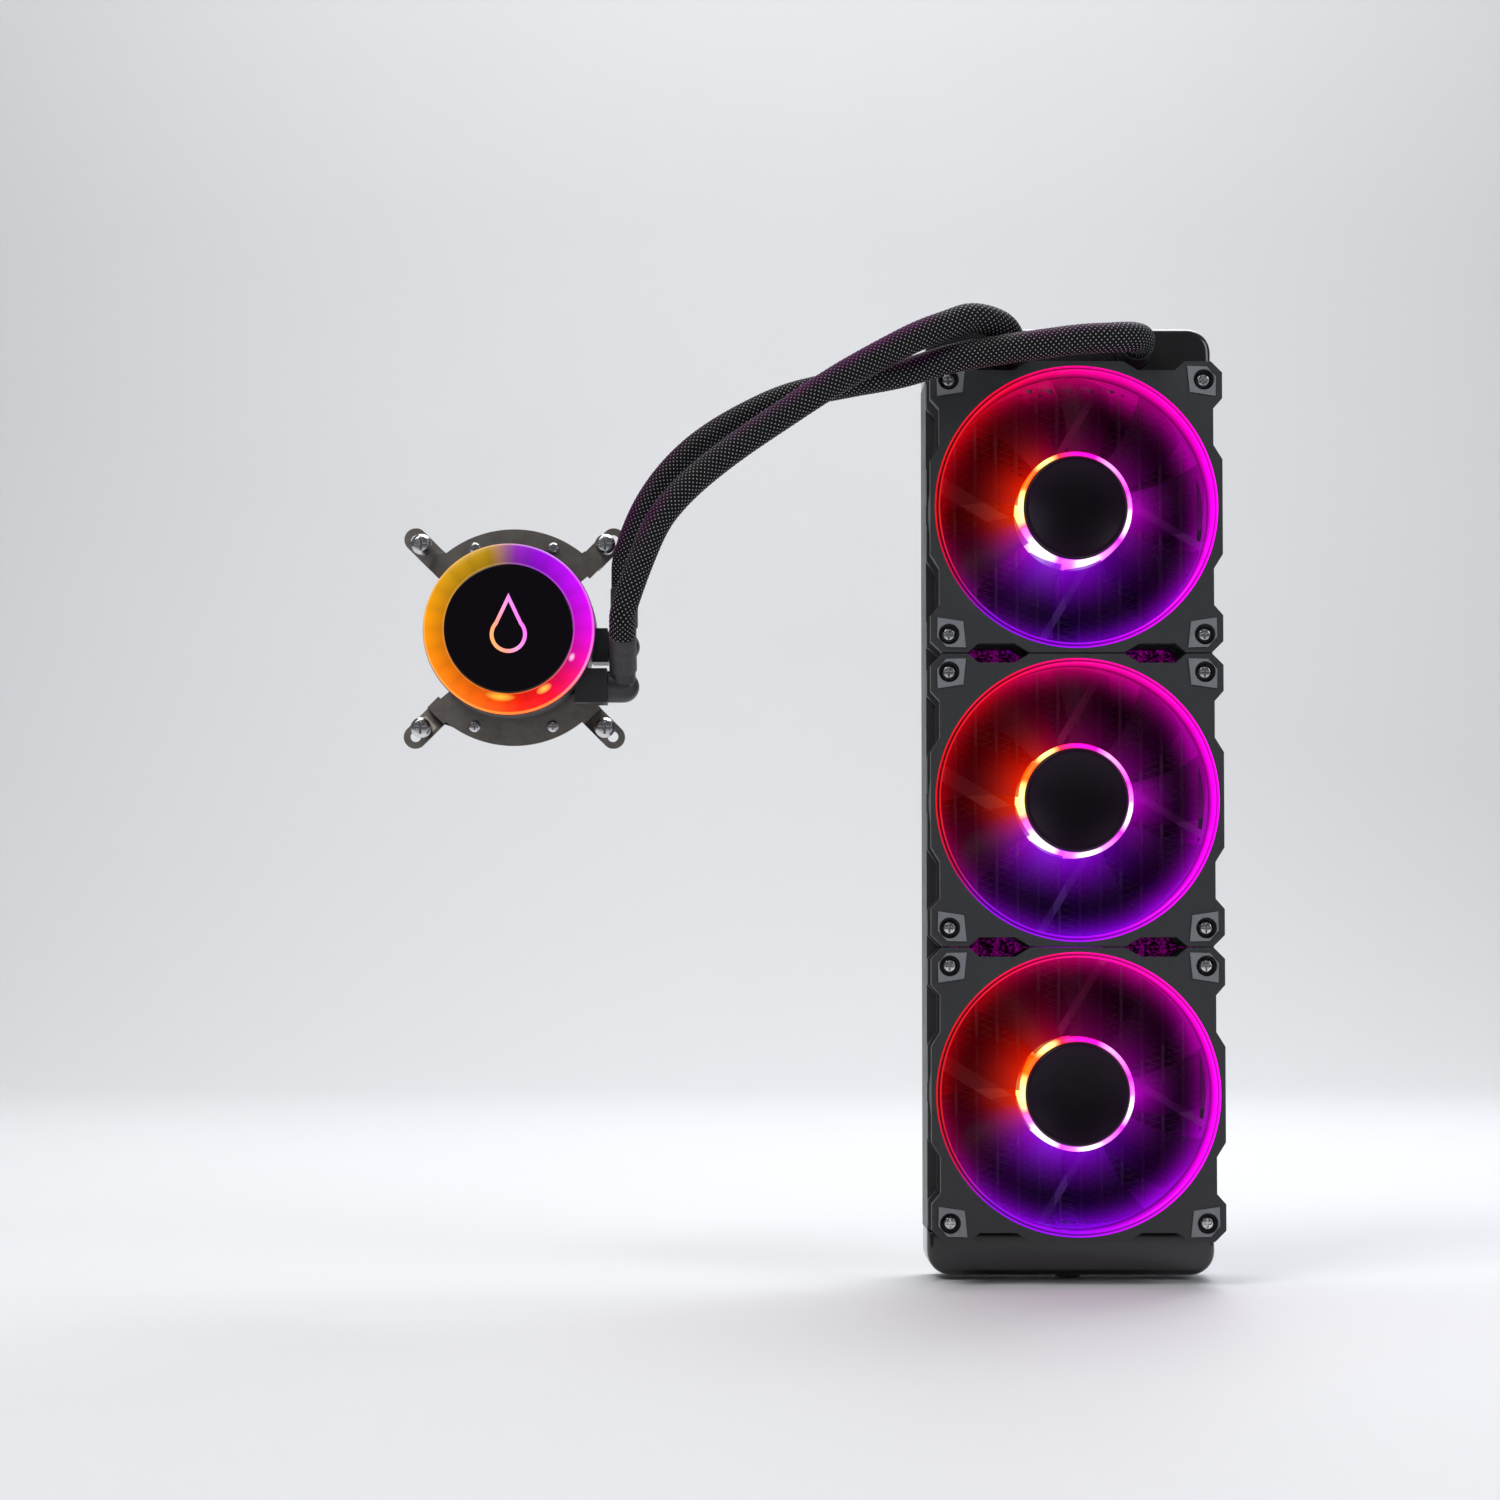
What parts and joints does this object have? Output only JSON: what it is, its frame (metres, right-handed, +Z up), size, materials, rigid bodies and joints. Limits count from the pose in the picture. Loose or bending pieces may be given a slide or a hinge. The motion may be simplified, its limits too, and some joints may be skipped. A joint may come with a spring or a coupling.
{
  "type": "liquid cooling radiator",
  "caption": "Closed-loop liquid cooler for a computer processor: black radiator with ring-lit fans, braided hoses and a round lit pump head on a steel bracket.",
  "frame": {"origin": "centre of the middle fan's square of case screw holes on the radiator's rear face", "axes": "+Z up along the radiator's length, +Y out of the rear face towards the case panel, fans face -Y, the pump head hangs at -X"},
  "size_m": [0.3362, 0.0935, 0.399],
  "materials": {
    "black_gloss_tank": "gloss black paint",
    "black_aluminium": "satin black paint",
    "fin_aluminium": "thin black paint",
    "black_steel": "satin black paint",
    "dark_metal": "satin",
    "barb_metal": "plated",
    "frame_plastic": "fine matt grain",
    "ring_light": "lit from inside, colours run round the ring",
    "pad_rubber": "matt",
    "copper_winding": "enamelled winding on a steel core",
    "bearing_bronze": "porous",
    "smoky_clear_plastic": "smoky clear",
    "yoke_steel": "rolled",
    "cap_black": "satin black",
    "screw_steel": "bright zinc plate",
    "braided_sleeve": "tight braid",
    "elbow_plastic": "satin black",
    "heat_shrink": "matt, slightly wrinkled",
    "copper_plate": "machined",
    "seal_rubber": "matt",
    "pump_plastic": "satin black",
    "impeller_plastic": "moulded",
    "circuit_board": "solder mask",
    "pump_ring_light": "lit from inside, colours run round the ring",
    "gloss_disc": "polished black",
    "emblem_light": "lit from inside",
    "bracket_steel": "dull plated, slightly mottled"
  },
  "bodies": {
    "root": {"top_tank": "black_gloss_tank", "tank_divider": "black_aluminium", "bottom_tank": "black_gloss_tank", "header_plates": "black_aluminium", "water_tubes": "black_aluminium", "cooling_fins": "fin_aluminium", "side_rails": "black_steel", "fill_plug": "dark_metal", "hose_barbs": "barb_metal", "hose_ferrules": "dark_metal", "top_fan_frame": "frame_plastic", "top_fan_light_ring": "ring_light", "top_fan_corner_pads": "pad_rubber", "top_fan_stator": "copper_winding", "top_fan_bearing": "bearing_bronze", "middle_fan_frame": "frame_plastic", "middle_fan_light_ring": "ring_light", "middle_fan_corner_pads": "pad_rubber", "middle_fan_stator": "copper_winding", "middle_fan_bearing": "bearing_bronze", "bottom_fan_frame": "frame_plastic", "bottom_fan_light_ring": "ring_light", "bottom_fan_corner_pads": "pad_rubber", "bottom_fan_stator": "copper_winding", "bottom_fan_bearing": "bearing_bronze", "fan_screws": "screw_steel", "hose_front": "braided_sleeve", "hose_rear": "braided_sleeve", "cold_plate": "copper_plate", "cold_plate_screws": "screw_steel", "gasket": "seal_rubber", "pump_base": "pump_plastic", "pump_housing": "pump_plastic", "port_block": "elbow_plastic", "pump_stator": "copper_winding", "pump_axle": "screw_steel", "control_board": "circuit_board", "pump_light_ring": "pump_ring_light", "face_disc": "gloss_disc", "drop_emblem": "emblem_light", "upper_bracket": "bracket_steel", "lower_bracket": "bracket_steel", "bracket_screws": "screw_steel", "mount_screws": "screw_steel", "mount_springs": "screw_steel"},
    "top_rotor": {"top_fan_rotor": "smoky_clear_plastic", "top_fan_magnet_yoke": "yoke_steel", "top_fan_hub_cap": "cap_black"},
    "middle_rotor": {"middle_fan_rotor": "smoky_clear_plastic", "middle_fan_magnet_yoke": "yoke_steel", "middle_fan_hub_cap": "cap_black"},
    "bottom_rotor": {"bottom_fan_rotor": "smoky_clear_plastic", "bottom_fan_magnet_yoke": "yoke_steel", "bottom_fan_hub_cap": "cap_black"},
    "pump_rotor": {"impeller": "impeller_plastic"},
    "lower_elbow": {"lower_elbow": "elbow_plastic", "lower_hose_collar": "heat_shrink"},
    "upper_elbow": {"upper_elbow": "elbow_plastic", "upper_hose_collar": "heat_shrink"}
  },
  "joints": [
    {"name": "top_fan_spin", "type": "hinge", "parent": "root", "child": "top_rotor", "pos_m": [0, -0.04, 0.1205], "axis": [0, 1, 0], "continuous": true},
    {"name": "middle_fan_spin", "type": "hinge", "parent": "root", "child": "middle_rotor", "pos_m": [0, -0.04, 0], "axis": [0, 1, 0], "continuous": true},
    {"name": "bottom_fan_spin", "type": "hinge", "parent": "root", "child": "bottom_rotor", "pos_m": [0, -0.04, -0.1205], "axis": [0, 1, 0], "continuous": true},
    {"name": "pump_spin", "type": "hinge", "parent": "root", "child": "pump_rotor", "pos_m": [-0.2308, -0.06, 0.0665], "axis": [0, 1, 0], "continuous": true},
    {"name": "lower_elbow_swivel", "type": "hinge", "parent": "root", "child": "lower_elbow", "pos_m": [-0.1855, -0.065, 0.045], "axis": [1, 0, 0], "range_deg": [-10, 25], "deforming": ["hose_front"]},
    {"name": "upper_elbow_swivel", "type": "hinge", "parent": "root", "child": "upper_elbow", "pos_m": [-0.1855, -0.058, 0.062], "axis": [1, 0, 0], "range_deg": [-25, 8], "deforming": ["hose_rear"]}
  ]
}
